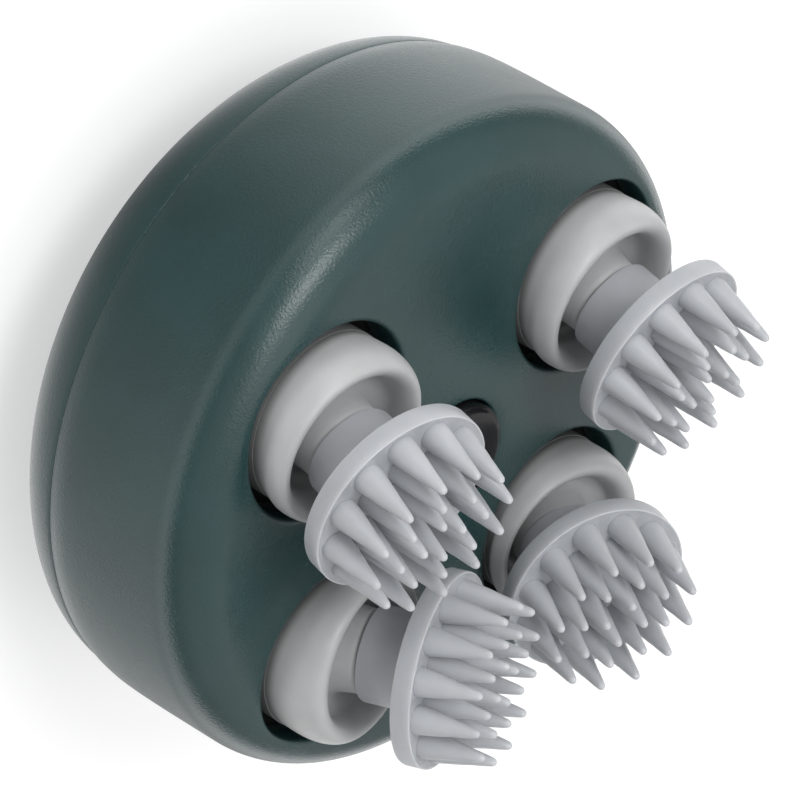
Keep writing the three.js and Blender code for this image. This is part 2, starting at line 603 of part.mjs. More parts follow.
function gearboxCover() {
  const places = HEADS.map((head) => polar(HEAD_CIRCLE_RADIUS, head.angle));
  const ribInner = BOOT_FLANGE_RADIUS - BOOT_RIB_WALL;
  const ribs = places.map(([x, y]) => at(
    tube(ribInner, BOOT_FLANGE_RADIUS, COVER_PLATE_TOP - JOIN_OVERLAP, BOOT_RIB_TOP, HEAD_SIDES), x, y));
  const pillars = PILLAR_ANGLES.map((angle) => at(
    cylinder(PILLAR_RADIUS, BASE_PLATE_TOP + GAP, COVER_PLATE_FLOOR + JOIN_OVERLAP, SCREW_SIDES),
    ...polar(PILLAR_CIRCLE_RADIUS, angle)));
  const capPost = tube(
    CAP_RADIUS - CAP_PILLAR_WALL, CAP_RADIUS, COVER_PLATE_TOP - JOIN_OVERLAP,
    FACE_INSIDE - JOIN_OVERLAP - CAP_FLANGE_HEIGHT - 2 * GAP, HEAD_SIDES);
  const plate = cylinder(PLATE_RADIUS, COVER_PLATE_FLOOR, COVER_PLATE_TOP, BODY_SIDES);
  const whole = join(plate, ...ribs, ...pillars, capPost);
  const window = ([x, y]) => at(
    cylinder(CRANK_WINDOW_RADIUS, COVER_PLATE_FLOOR - CUT_THROUGH, COVER_PLATE_TOP + CUT_THROUGH, SHAFT_SIDES), x, y);
  const notch = (angle) => at(
    cylinder(POST_RADIUS + GAP, COVER_PLATE_FLOOR - CUT_THROUGH, COVER_PLATE_TOP + CUT_THROUGH, SHAFT_SIDES),
    ...polar(POST_CIRCLE_RADIUS, angle));
  const axleHole = cylinder(
    AXLE_RADIUS + GAP, COVER_PLATE_FLOOR - CUT_THROUGH, COVER_PLATE_TOP - GAP, SHAFT_SIDES);
  return geometryOf(cut(whole, ...places.map(window), ...POST_ANGLES.map(notch), axleHole));
}

function screw(length) {
  return weld(turned([
    [0, -SCREW_HEAD_HEIGHT],
    [SCREW_HEAD_RADIUS, -SCREW_HEAD_HEIGHT],
    [SCREW_HEAD_RADIUS, 0],
    [SCREW_RADIUS, 0],
    [SCREW_RADIUS, length],
    [0, length],
  ], SCREW_SIDES));
}

function bearing() {
  const floor = BASE_PLATE_FLOOR;
  return weld(tube(JOURNAL_RADIUS + RUNNING, BEARING_RADIUS, floor, floor + BEARING_HEIGHT, SHAFT_SIDES));
}

// The tilted frame of one head, from its nutation centre.
function tiltMatrix(head) {
  const turn = new THREE.Matrix4().makeRotationZ(head.lean * RAD);
  const tip = new THREE.Matrix4().makeRotationY(head.tilt * RAD);
  return new THREE.Matrix4().makeTranslation(0, 0, NUTATION_HEIGHT).multiply(turn).multiply(tip);
}

function crankGear(head) {
  const phase = meshPhase(head.angle, SUN_TEETH, CRANK_TEETH);
  const whole = join(
    gear(CRANK_TEETH, phase, GEAR_FLOOR, GEAR_THICKNESS),
    cylinder(CRANK_BOSS_RADIUS, GEAR_FLOOR + GEAR_THICKNESS - JOIN_OVERLAP, CRANK_BOSS_TOP, SHAFT_SIDES),
    cylinder(JOURNAL_RADIUS, BASE_PLATE_FLOOR + GAP, GEAR_FLOOR + JOIN_OVERLAP, SHAFT_SIDES),
  );
  const socket = cylinder(PIN_RADIUS + GAP, PIN_BOTTOM - GAP, PIN_TOP, SHAFT_SIDES).applyMatrix4(tiltMatrix(head));
  return geometryOf(cut(whole, socket));
}

function crankPin() {
  return weld(turned([
    [0, PIN_BOTTOM],
    [PIN_RADIUS, PIN_BOTTOM],
    [PIN_RADIUS, PIN_TOP - 0.6],
    [PIN_RADIUS - 0.6, PIN_TOP],
    [0, PIN_TOP],
  ], SHAFT_SIDES));
}

function headHub() {
  const flangeTop = PAD_BACK + PAD_THICKNESS - PAD_FRONT_SKIN - GAP;
  const flangeFloor = PAD_BACK + PAD_BACK_SKIN + GAP;
  const bore = PIN_RADIUS + RUNNING;
  return weld(turned([
    [0, PIN_TOP + GAP],
    [bore, PIN_TOP + GAP],
    [bore, HUB_BOTTOM],
    [HUB_RADIUS, HUB_BOTTOM],
    [HUB_RADIUS, flangeFloor],
    [HUB_FLANGE_RADIUS, flangeFloor],
    [HUB_FLANGE_RADIUS, flangeTop],
    [0, flangeTop],
  ], SHAFT_SIDES));
}

function cone() {
  const floor = PAD_BACK + PAD_THICKNESS - JOIN_OVERLAP;
  const top = PAD_BACK + PAD_THICKNESS + CONE_LENGTH;
  return turned([
    [0, floor],
    [CONE_BASE_RADIUS, floor],
    [CONE_TIP_RADIUS, top],
    [0, top],
  ], CONE_SIDES);
}

function massagePad(head) {
  const front = PAD_BACK + PAD_THICKNESS;
  const bore = HUB_RADIUS + GAP;
  const body = turned([
    [0, front - PAD_FRONT_SKIN],
    [HUB_FLANGE_RADIUS + GAP, front - PAD_FRONT_SKIN],
    [HUB_FLANGE_RADIUS + GAP, PAD_BACK + PAD_BACK_SKIN],
    [bore, PAD_BACK + PAD_BACK_SKIN],
    [bore, STEM_START],
    [STEM_RADIUS, STEM_START],
    [STEM_RADIUS, PAD_BACK],
    [PAD_RADIUS, PAD_BACK],
    [PAD_RADIUS, front],
    [0, front],
  ], HEAD_SIDES);
  const cones = CONE_RINGS.flatMap(({ count, share }) => {
    const placed = [];
    for (let i = 0; i < count; i += 1) {
      placed.push(at(cone(), ...polar(CONE_CIRCLE_RADIUS * share, head.turn + (360 * i) / count)));
    }
    return placed;
  });
  return geometryOf(join(body, ...cones));
}

// Boot profile as [radius, height above the nutation centre, share of the head's tilt].
// The outer wall stays upright and the neck follows the stem.
function bootProfile() {
  const crest = BOOT_CREST_HEIGHT - NUTATION_HEIGHT;
  const shoulder = BOOT_SHOULDER_HEIGHT - NUTATION_HEIGHT;
  const root = BOOT_SPLIT_HEIGHT - NUTATION_HEIGHT;
  const bandCentre = (BOOT_RADIUS + BOOT_MOUTH_RADIUS) / 2;
  const bandHalf = (BOOT_RADIUS - BOOT_MOUTH_RADIUS) / 2;
  const neckOuter = BOOT_NECK_RADIUS;
  const neckInner = neckOuter - BOOT_NECK_WALL;
  const neckTop = STEM_START - GAP;
  const skin = BOOT_SKIN;
  return [
    [BOOT_RADIUS - 0.3, root, 0],
    [BOOT_RADIUS, shoulder, 0.2],
    [bandCentre + bandHalf * 0.75, shoulder + (crest - shoulder) * 0.66, 0.3],
    [bandCentre, crest, 0.4],
    [bandCentre - bandHalf * 0.75, shoulder + (crest - shoulder) * 0.66, 0.5],
    [BOOT_MOUTH_RADIUS, shoulder + 0.4, 0.65],
    [neckOuter + 0.3, BOOT_NECK_BOTTOM + skin, 0.95],
    [neckOuter, neckTop, 1],
    [neckInner, neckTop, 1],
    [neckInner, BOOT_NECK_BOTTOM, 1],
    [neckOuter + 1.2, BOOT_NECK_BOTTOM, 0.95],
    [BOOT_MOUTH_RADIUS + skin, shoulder + 0.2, 0.6],
    [bandCentre, crest - skin, 0.4],
    [BOOT_RADIUS - skin, shoulder - 0.2, 0.2],
    [BOOT_RADIUS - skin, root, 0],
  ];
}

function boot(head) {
  const geometry = turnedRing(bootProfile().map(([radius, height]) => [radius, height]), HEAD_SIDES);
  const shares = [...bootProfile(), bootProfile()[0]].map(([, , share]) => share);
  const p = geometry.attributes.position;
  const point = new THREE.Vector3();
  for (let i = 0; i < p.count; i += 1) {
    const share = shares[i % shares.length];
    point.fromBufferAttribute(p, i);
    point.applyAxisAngle(leanAxis(head), head.tilt * share * RAD);
    p.setXYZ(i, point.x, point.y, point.z + NUTATION_HEIGHT);
  }
  return weld(geometry);
}

function leanAxis(head) {
  return new THREE.Vector3(-Math.sin(head.lean * RAD), Math.cos(head.lean * RAD), 0);
}

function bootRoot() {
  const flangeTop = BOOT_FLANGE_FLOOR + BOOT_ROOT_THICKNESS;
  return weld(turnedRing([
    [BOOT_RADIUS - BOOT_SKIN, BOOT_FLANGE_FLOOR],
    [BOOT_FLANGE_RADIUS, BOOT_FLANGE_FLOOR],
    [BOOT_FLANGE_RADIUS, flangeTop],
    [BOOT_RADIUS - 0.3, flangeTop],
    [BOOT_RADIUS - 0.3, BOOT_SPLIT_HEIGHT - GAP],
    [BOOT_RADIUS - BOOT_SKIN, BOOT_SPLIT_HEIGHT - GAP],
  ], HEAD_SIDES));
}

function chargingCap() {
  const top = FACE_HEIGHT + CAP_RISE;
  const flangeTop = FACE_INSIDE - JOIN_OVERLAP - GAP;
  const floor = flangeTop - CAP_FLANGE_HEIGHT;
  const body = turned([
    [0, floor],
    [CAP_FLANGE_RADIUS, floor],
    [CAP_FLANGE_RADIUS, flangeTop],
    [CAP_RADIUS, flangeTop],
    [CAP_RADIUS, top - CAP_BEVEL / 2],
    [CAP_RADIUS - CAP_BEVEL, top],
    [0, top],
  ], HEAD_SIDES);
  const hole = (x) => at(cylinder(CONTACT_RADIUS + GAP, floor - CUT_THROUGH, top + CUT_THROUGH, SHAFT_SIDES), x, 0);
  return geometryOf(cut(join(body), hole(-CONTACT_SPACING / 2), hole(CONTACT_SPACING / 2)));
}

function contactPin() {
  const top = FACE_HEIGHT + CAP_RISE + CONTACT_PROUD;
  const floor = FACE_INSIDE - JOIN_OVERLAP - GAP - CAP_FLANGE_HEIGHT;
  return weld(turned([
    [0, floor],
    [CONTACT_RADIUS, floor],
    [CONTACT_RADIUS, top - 0.3],
    [CONTACT_RADIUS - 0.3, top],
    [0, top],
  ], SHAFT_SIDES));
}

function placed(mesh, x, y, z = 0) {
  mesh.position.set(x, y, z);
  return mesh;
}

function headAssembly(head) {
  const [x, y] = polar(HEAD_CIRCLE_RADIUS, head.angle);
  const station = new THREE.Group();
  station.position.set(x, y, 0);
  station.add(node(`crank_bearing_${head.name}`, bearing(), "steel"));
  station.add(node(`crank_gear_${head.name}`, crankGear(head), "gear"));
  station.add(node(`boot_root_${head.name}`, bootRoot(), "silicone"));
  station.add(node(`boot_${head.name}`, boot(head), "silicone"));
  const tilted = new THREE.Group();
  tilted.position.set(0, 0, NUTATION_HEIGHT);
  tilted.rotation.set(0, head.tilt * RAD, head.lean * RAD, "ZYX");
  tilted.add(node(`crank_pin_${head.name}`, crankPin(), "steel"));
  tilted.add(node(`head_hub_${head.name}`, headHub(), "frame"));
  tilted.add(node(`massage_pad_${head.name}`, massagePad(head), "silicone"));
  station.add(tilted);
  return station;
}

const massager = new THREE.Group();
massager.add(node("back_cover", backCover(), "housing"));
massager.add(node("main_shell", mainShell(), "housing"));
massager.add(node("seal_ring", sealRing(), "rubber"));
massager.add(node("button_light_ring", lightRing(), "light"));
massager.add(node("power_button", powerButton(), "housing"));
massager.add(node("main_board", mainBoard(), "board"));
massager.add(node("button_switch", tactSwitch(), "black"));
massager.add(node("battery_pack", battery(), "cell"));
massager.add(node("drive_motor", motor(), "steel"));
massager.add(node("motor_pinion", motorPinion(), "steel"));
massager.add(node("gearbox_base", gearboxBase(), "frame"));
massager.add(node("gearbox_cover", gearboxCover(), "frame"));
massager.add(node("drive_axle", driveAxle(), "steel"));
massager.add(node("drive_gear", driveGear(), "gear"));
massager.add(node("charging_cap", chargingCap(), "black"));
massager.add(placed(node("charging_contact_left", contactPin(), "gold"), -CONTACT_SPACING / 2, 0));
massager.add(placed(node("charging_contact_right", contactPin(), "gold"), CONTACT_SPACING / 2, 0));
for (const head of HEADS) massager.add(headAssembly(head));
POST_ANGLES.forEach((angle, i) => {
  const mesh = node(`gearbox_screw_${i + 1}`, screw(SCREW_LENGTH), "steel");
  massager.add(placed(mesh, ...polar(POST_CIRCLE_RADIUS, angle), BASE_PLATE_FLOOR - GAP));
});
BOARD_POST_ANGLES.forEach((angle, i) => {
  const mesh = node(`board_screw_${i + 1}`, screw(5), "steel");
  mesh.rotation.x = Math.PI;
  massager.add(placed(mesh, ...polar(BOARD_POST_CIRCLE_RADIUS, angle), BOARD_TOP + GAP));
});

export default massager;
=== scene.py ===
import json
import math

import bmesh
import bpy
from mathutils import Matrix, Vector
from mathutils.geometry import delaunay_2d_cdt

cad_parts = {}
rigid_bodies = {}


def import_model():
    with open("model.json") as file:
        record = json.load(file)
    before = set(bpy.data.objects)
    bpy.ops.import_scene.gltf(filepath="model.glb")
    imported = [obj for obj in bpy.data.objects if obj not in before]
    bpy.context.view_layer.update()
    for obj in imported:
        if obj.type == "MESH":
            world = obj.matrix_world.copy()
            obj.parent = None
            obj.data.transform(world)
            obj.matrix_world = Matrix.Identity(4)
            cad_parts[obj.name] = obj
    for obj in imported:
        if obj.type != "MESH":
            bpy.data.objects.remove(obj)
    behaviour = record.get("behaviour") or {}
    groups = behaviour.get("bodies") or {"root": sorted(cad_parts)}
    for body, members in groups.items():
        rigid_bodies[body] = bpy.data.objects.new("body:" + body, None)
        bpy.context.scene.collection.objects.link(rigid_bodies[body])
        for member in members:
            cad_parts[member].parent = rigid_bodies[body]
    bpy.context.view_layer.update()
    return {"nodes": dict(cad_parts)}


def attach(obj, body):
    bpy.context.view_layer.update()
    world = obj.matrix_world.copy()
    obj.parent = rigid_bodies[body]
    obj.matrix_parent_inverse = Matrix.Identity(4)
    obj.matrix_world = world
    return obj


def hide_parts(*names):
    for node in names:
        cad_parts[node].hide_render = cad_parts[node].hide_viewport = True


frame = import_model()
mm = 0.001

# Back cover: the domed half that lies in the palm, moulded in dark grey-green plastic with a
# fine spark-eroded grain. A flat ring round the power button is what the massager stands on.
# Its tongue plugs into the main shell and holds the seal ring.


def arc(centre, radii, start, end, steps):
    """Points of an ellipse's arc in the (radius, height) plane, angles in degrees."""
    points = []
    for i in range(steps + 1):
        angle = math.radians(start + (end - start) * i / steps)
        points.append((centre[0] + radii[0] * math.cos(angle), centre[1] + radii[1] * math.sin(angle)))
    return points


def mesh_piece(name, points, faces, material, crease=35):
    """A closed mesh in mm, turned into metres, with its faces out and smooth up to the crease angle."""
    mesh = bpy.data.meshes.new(name)
    mesh.from_pydata([Vector(p) * mm for p in points], [], faces)
    work = bmesh.new()
    work.from_mesh(mesh)
    bmesh.ops.remove_doubles(work, verts=work.verts, dist=1e-3 * mm)
    bmesh.ops.delete(work, geom=[v for v in work.verts if not v.link_faces], context="VERTS")
    bmesh.ops.recalc_face_normals(work, faces=work.faces)
    work.to_mesh(mesh)
    work.free()
    mesh.shade_smooth()
    mesh.set_sharp_from_angle(angle=math.radians(crease))
    mesh.materials.append(material)
    piece = bpy.data.objects.new(name, mesh)
    bpy.context.scene.collection.objects.link(piece)
    return piece


def turned(name, profile, material, sides=128, closed=True, crease=35):
    """Turns a profile of (radius, height) points in mm about Z."""
    points, faces, rings = [], [], []
    for radius, height in profile:
        if radius < 1e-6:
            rings.append([len(points)] * sides)
            points.append((0, 0, height))
            continue
        rings.append(range(len(points), len(points) + sides))
        for k in range(sides):
            angle = 2 * math.pi * k / sides
            points.append((radius * math.cos(angle), radius * math.sin(angle), height))
    pairs = list(zip(rings, rings[1:])) + ([(rings[-1], rings[0])] if closed else [])
    for low, high in pairs:
        for k in range(sides):
            corners = [low[k], low[(k + 1) % sides], high[(k + 1) % sides], high[k]]
            corners = list(dict.fromkeys(corners))
            if len(corners) > 2:
                faces.append(corners)
    return mesh_piece(name, points, faces, material, crease)


def nodes_of(name):
    """A new material with its node tree, its links and its surface shader."""
    material = bpy.data.materials.new(name)
    material.use_nodes = True
    tree = material.node_tree
    return material, tree, tree.nodes["Principled BSDF"]


def object_noise(tree, scale, detail=3.0):
    """A noise on the piece's own coordinates; scale is in waves per metre."""
    place = tree.nodes.new("ShaderNodeTexCoord")
    noise = tree.nodes.new("ShaderNodeTexNoise")
    noise.inputs["Scale"].default_value = scale
    noise.inputs["Detail"].default_value = detail
    tree.links.new(place.outputs["Object"], noise.inputs["Vector"])
    return noise


def stepped(tree, source, low, high):
    """Maps a 0 to 1 value between two numbers or two colours."""
    ramp = tree.nodes.new("ShaderNodeValToRGB")
    for element, position, value in zip(ramp.color_ramp.elements, (0.35, 0.65), (low, high)):
        element.position = position
        element.color = value if isinstance(value, tuple) else (value, value, value, 1)
    tree.links.new(source, ramp.inputs["Fac"])
    return ramp.outputs["Color"]


def eased(tree, source, start, end, low=0.0, high=1.0):
    """Goes softly from low to high while the source goes from start to end."""
    node = tree.nodes.new("ShaderNodeMapRange")
    node.interpolation_type = "SMOOTHSTEP"
    for label, value in (("From Min", start), ("From Max", end), ("To Min", low), ("To Max", high)):
        node.inputs[label].default_value = value
    tree.links.new(source, node.inputs["Value"])
    return node.outputs["Result"]


def grained(name, colour, roughness, grain, depth, spread=0.08):
    """Moulded plastic: an even colour with slight clouding, and a fine grain in its bump."""
    material, tree, shader = nodes_of(name)
    cloud = object_noise(tree, scale=90)
    dark = tuple(c * (1 - spread) for c in colour) + (1,)
    light = tuple(c * (1 + spread) for c in colour) + (1,)
    tree.links.new(stepped(tree, cloud.outputs["Fac"], dark, light), shader.inputs["Base Color"])
    tree.links.new(
        stepped(tree, cloud.outputs["Fac"], roughness * 0.94, roughness * 1.06), shader.inputs["Roughness"])
    fine = object_noise(tree, scale=grain)
    bump = tree.nodes.new("ShaderNodeBump")
    bump.inputs["Strength"].default_value = 1.0
    bump.inputs["Distance"].default_value = depth
    tree.links.new(fine.outputs["Fac"], bump.inputs["Height"])
    tree.links.new(bump.outputs["Normal"], shader.inputs["Normal"])
    return material


housing_plastic = grained(
    "housing_plastic", (0.015, 0.044, 0.045), roughness=0.27, grain=2600, depth=0.06 * mm)

seam_radius = 54.2
seam_height = 22.0
rest_radius = 17.0
wall = 2.4
recess_lip = 0.4
dome_depth = seam_height / math.sqrt(1 - (rest_radius / seam_radius) ** 2)
recess_radius = 10.2
web_floor, web_top, web_radius = 2.1, 3.5, 12.0
button_hole = 7.3
tongue_out, tongue_in = 52.3, 49.9
groove_floor, groove_top, groove_radius = 23.2, 24.6, 51.3
tongue_top, tongue_edge = 26.0, 0.3
rest_angle = math.degrees(math.acos(rest_radius / seam_radius))
inner_angle = math.degrees(math.acos((web_radius + 0.6) / (seam_radius - wall)))
dome_end, inner_end = -0.35, -8
cover_profile = [
    (recess_radius, web_floor),
    *arc((recess_radius + recess_lip, recess_lip), (recess_lip, recess_lip), 180, 270, 4),
    *arc((0, seam_height), (seam_radius, dome_depth), -rest_angle, dome_end, 40),
    (seam_radius - 0.03, seam_height - 0.05),
    (seam_radius - 0.1, seam_height),
    (tongue_out, seam_height),
    (tongue_out, groove_floor),
    (groove_radius, groove_floor),
    (groove_radius, groove_top),
    (tongue_out, groove_top),
    (tongue_out, tongue_top - tongue_edge),
    (tongue_out - tongue_edge, tongue_top),
    (tongue_in, tongue_top),
    (tongue_in, seam_height),
    *arc((0, seam_height), (seam_radius - wall, dome_depth - wall), inner_end, -inner_angle, 20),
    (web_radius, web_top),
    (button_hole, web_top),
    (button_hole, web_floor),
]
back_cover = turned("back_cover_visual", cover_profile, housing_plastic, sides=192)
board_post_angles = (90, 200, 340)
board_post_circle, board_post_radius, board_post_bore = 22.0, 2.4, 1.5
board_post_foot, board_post_floor, board_post_top = 1.9, 3.6, 7.3
for angle in board_post_angles:
    post = turned("board_post", [
        (board_post_bore, board_post_floor), (board_post_bore, board_post_top),
        (board_post_radius, board_post_top), (board_post_radius, board_post_foot),
        (0, board_post_foot), (0, board_post_floor),
    ], housing_plastic, sides=32)
    turn = Matrix.Rotation(math.radians(angle), 4, "Z")
    post.data.transform(Matrix.Translation(turn @ Vector((board_post_circle * mm, 0, 0))))
    union = back_cover.modifiers.new("post", "BOOLEAN")
    union.operation = "UNION"
    union.solver = "EXACT"
    union.object = post


def settle(piece, crease=35):
    """Turns the piece's evaluated mesh into its own plain mesh, and takes its modifiers off."""
    evaluated = piece.evaluated_get(bpy.context.evaluated_depsgraph_get())
    mesh = bpy.data.meshes.new_from_object(evaluated)
    piece.modifiers.clear()
    piece.data = mesh
    mesh.shade_smooth()
    mesh.set_sharp_from_angle(angle=math.radians(crease))
    return piece


settle(back_cover)
for spare in [o for o in bpy.data.objects if o.name.startswith("board_post")]:
    bpy.data.objects.remove(spare)
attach(back_cover, "housing")
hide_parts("back_cover")

# Main shell: the side wall, the rolled rim and the flat face in one moulding of the same grained
# plastic. Four round holes let the heads out, each with a small rolled edge and a collar inside,
# and a small hole in the middle takes the charging cap. Screw posts stand inside the rim.
body_radius = 55.0
face_height = 51.3
face_flatness = 8
rim_fillet, rim_inset, rim_top = 8.0, 0.3, 51.2
rim_centre = body_radius - rim_inset - rim_fillet
rim_height = rim_top - rim_fillet
plan_radius = 51.9
seam_gap = 0.04
shell_foot = seam_height + seam_gap
hole_radius = 15.4
hole_lip = 0.8
collar_wall = 1.6
collar_floor = 45.4
cap_hole = 9.0
cap_lip = 0.5
cap_boss, cap_boss_floor = 11.4, 48.4
post_circle, post_radius, screw_hole = 47.2, 3.1, 1.5
post_floor, screw_depth = 28.8, 7.0
rim_sides, hole_sides, cap_sides, post_sides = 192, 96, 64, 24
edge_step = 0.02
point_hair = 1e-4
head_circle = 33.75
head_angles = {"front_left": 145, "front_right": 35, "rear_right": -45, "rear_left": -135}


def around(radius, degrees):
    """The point at a radius and an angle in the plan, in the radius's unit."""
    return Vector((radius * math.cos(math.radians(degrees)), radius * math.sin(math.radians(degrees))))


hole_places = [around(head_circle, angle) for angle in head_angles.values()]
post_places = [around(post_circle, angle) for angle in (0, 90, 180, 270)]


def lip_drop(distance, radius, lip):
    """How far a rolled edge of a hole lies below the face."""
    inward = lip - (distance - radius)
    return lip - math.sqrt(max(lip * lip - inward * inward, 0)) if 0 < inward else 0


def rim_fall(radius, fillet):
    """How far the rolled rim lies below its top."""
    past = radius - rim_centre
    return fillet - math.sqrt(fillet * fillet - past * past) if past > 0 else 0


def face_top(p):
    """The outer face's height, its holes' rolled edges and the rolled rim counted in."""
    fall = min(p.length / rim_centre, 1) ** face_flatness
    height = face_height - (face_height - rim_height - rim_fillet) * fall
    height -= rim_fall(p.length, rim_fillet) + lip_drop(p.length, cap_hole, cap_lip)
    return height - sum(lip_drop((p - place).length, hole_radius, hole_lip) for place in hole_places)


def face_under(p):
    """The height of the inner side under it: posts, collars, the cap's boss or the plain wall."""
    for place in post_places:
        if (p - place).length < screw_hole + point_hair:
            return post_floor + screw_depth
        if (p - place).length < post_radius + point_hair:
            return post_floor
    if any((p - place).length < hole_radius + collar_wall + point_hair for place in hole_places):
        return collar_floor
    if p.length < cap_boss + point_hair:
        return cap_boss_floor
    return rim_height + rim_fillet - wall - rim_fall(p.length, rim_fillet - wall)


centre_place = Vector((0, 0))
lip_steps = 5
rings = [(centre_place, plan_radius, rim_sides)]
for i in range(lip_steps + 1):
    roll = 1 - math.cos(math.radians(90 * i / lip_steps))
    rings += [(place, hole_radius + hole_lip * roll, hole_sides) for place in hole_places]
    rings.append((centre_place, cap_hole + cap_lip * roll, cap_sides))
rings += [(place, hole_radius + collar_wall + step, hole_sides)
          for place in hole_places for step in (0, edge_step)]
rings += [(centre_place, cap_boss + step, cap_sides) for step in (0, edge_step)]
rings += [(place, radius + step, post_sides) for place in post_places
          for radius in (screw_hole, post_radius) for step in (0, edge_step)]
flat_points, flat_edges = [], []
for centre, radius, sides in rings:
    first = len(flat_points)
    flat_points += [centre + around(radius, 360 * k / sides) for k in range(sides)]
    flat_edges += [(first + k, first + (k + 1) % sides) for k in range(sides)]
collar_margin, post_margin, boss_margin = 0.7, 0.5, 0.9
clear_of = [(place, hole_radius + collar_wall + collar_margin) for place in hole_places]
clear_of += [(place, post_radius + post_margin) for place in post_places]
clear_of.append((centre_place, cap_boss + boss_margin))
fill_rows, fill_start, fill_step, fill_sides_per_mm = 14, 13, 2.4, 2.6
fill_radii = [fill_start + fill_step * i for i in range(fill_rows)]
rim_rows = (0, 0.9, 1.8, 2.7, 3.5, 4.2, 4.9)
fill_radii += [rim_centre + step for step in rim_rows]
for row, radius in enumerate(fill_radii):
    sides = rim_sides if radius >= rim_centre else int(radius * fill_sides_per_mm)
    for k in range(sides):
        point = around(radius, 360 * (k + 0.5 * (row % 2)) / sides)
        if all((point - place).length > reach for place, reach in clear_of):
            flat_points.append(point)
inside_faces, merge_distance = 1, 1e-5
plan = delaunay_2d_cdt(flat_points, flat_edges, [], inside_faces, merge_distance)
plan_points, plan_faces = plan[0], plan[2]


def in_a_hole(face):
    """Whether a face of the plan lies in a head hole or in the cap's."""
    middle = sum((plan_points[i] for i in face), centre_place) / len(face)
    return middle.length < cap_hole or any((middle - place).length < hole_radius for place in hole_places)


plan_faces = [tuple(face) for face in plan_faces if not in_a_hole(face)]
count = len(plan_points)
shell_points = [(p.x, p.y, face_top(p)) for p in plan_points]
shell_points += [(p.x, p.y, face_under(p)) for p in plan_points]
shell_faces = list(plan_faces) + [tuple(i + count for i in reversed(face)) for face in plan_faces]
plan_edges = dict.fromkeys(edge for face in plan_faces for edge in zip(face, face[1:] + face[:1]))
open_edges = [edge for edge in plan_edges if edge[::-1] not in plan_edges]
rim_start = math.degrees(math.acos((plan_radius - rim_centre) / rim_fillet))
inner_fillet = rim_fillet - wall
inner_start = math.degrees(math.acos((plan_radius - rim_centre) / inner_fillet))
side_profile = [
    *arc((rim_centre, rim_height), (rim_fillet, rim_fillet), rim_start, 0, 12)[1:],
    (54.82, 38.0), (54.95, 33.0), (55.0, 28.5), (54.93, 25.8), (54.72, 24.0), (54.42, 22.9),
    (54.23, 22.25), (54.19, shell_foot + seam_gap), (54.1, shell_foot),
    (body_radius - wall, shell_foot),
    *arc((rim_centre, rim_height), (inner_fillet, inner_fillet), 0, inner_start, 6)[:-1],
]
edge_ring = [i for i, p in enumerate(plan_points) if abs(p.length - plan_radius) < 1e-3]
edge_ring.sort(key=lambda i: math.atan2(plan_points[i].y, plan_points[i].x))
previous = edge_ring
for radius, height in side_profile:
    start = len(shell_points)
    for i in edge_ring:
        direction = plan_points[i].normalized()
        shell_points.append((direction.x * radius, direction.y * radius, height))
    ring = range(start, start + len(edge_ring))
    for k in range(len(ring)):
        shell_faces.append((previous[k], ring[k], ring[(k + 1) % len(ring)], previous[(k + 1) % len(ring)]))
    previous = ring
for k in range(len(edge_ring)):
    low, low_next = edge_ring[k] + count, edge_ring[(k + 1) % len(edge_ring)] + count
    shell_faces.append((previous[k], low, low_next, previous[(k + 1) % len(edge_ring)]))
on_rim = set(edge_ring)
for a, b in open_edges:
    if a not in on_rim:
        shell_faces.append((a, a + count, b + count, b))
main_shell = mesh_piece("main_shell_visual", shell_points, shell_faces, housing_plastic)
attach(main_shell, "housing")
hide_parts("main_shell")

# Silicone boots: one soft moulding in each head hole, clamped inside by its flange. Its drum
# stands out of the hole, rolls over into a doughnut and runs down a funnel to a collar round
# the head's stem. The flexing part goes round with the crank, which bends it.
nutation_height = 47.6
head_lean = {
    "front_left": (12.4, -121.7),
    "front_right": (14.5, -95.4),
    "rear_right": (20.5, -171.6),
    "rear_left": (20.5, 11.6),
}


def silicone(name, colour, roughness, softness=0.25, light_depth=0.6):
    """Satin silicone rubber: light passes a little way in, and the skin is faintly uneven."""
    material, tree, shader = nodes_of(name)
    cloud = object_noise(tree, scale=130, detail=4)
    dark = tuple(c * 0.95 for c in colour) + (1,)
    light = tuple(min(c * 1.04, 1) for c in colour) + (1,)
    tree.links.new(stepped(tree, cloud.outputs["Fac"], dark, light), shader.inputs["Base Color"])
    tree.links.new(
        stepped(tree, object_noise(tree, scale=420).outputs["Fac"], roughness * 0.9, roughness * 1.1),
        shader.inputs["Roughness"])
    shader.inputs["Subsurface Weight"].default_value = softness
    shader.inputs["Subsurface Radius"].default_value = (1.0, 0.9, 0.85)
    shader.inputs["Subsurface Scale"].default_value = light_depth * mm
    skin = object_noise(tree, scale=1500)
    bump = tree.nodes.new("ShaderNodeBump")
    bump.inputs["Strength"].default_value = 0.6
    bump.inputs["Distance"].default_value = 0.006 * mm
    tree.links.new(skin.outputs["Fac"], bump.inputs["Height"])
    tree.links.new(bump.outputs["Normal"], shader.inputs["Normal"])
    return material


boot_silicone_painted_foot_shade = silicone("boot_silicone_painted_foot_shade", (0.46, 0.465, 0.47), roughness=0.4)
# The roots' silicone is drawn far darker than the boots': this is painted shade for the gap round each drum,
# not the rubber's own colour.
root_silicone_painted_shade = silicone("root_silicone_painted_shade", (0.18, 0.182, 0.184), roughness=0.42, softness=0.0)


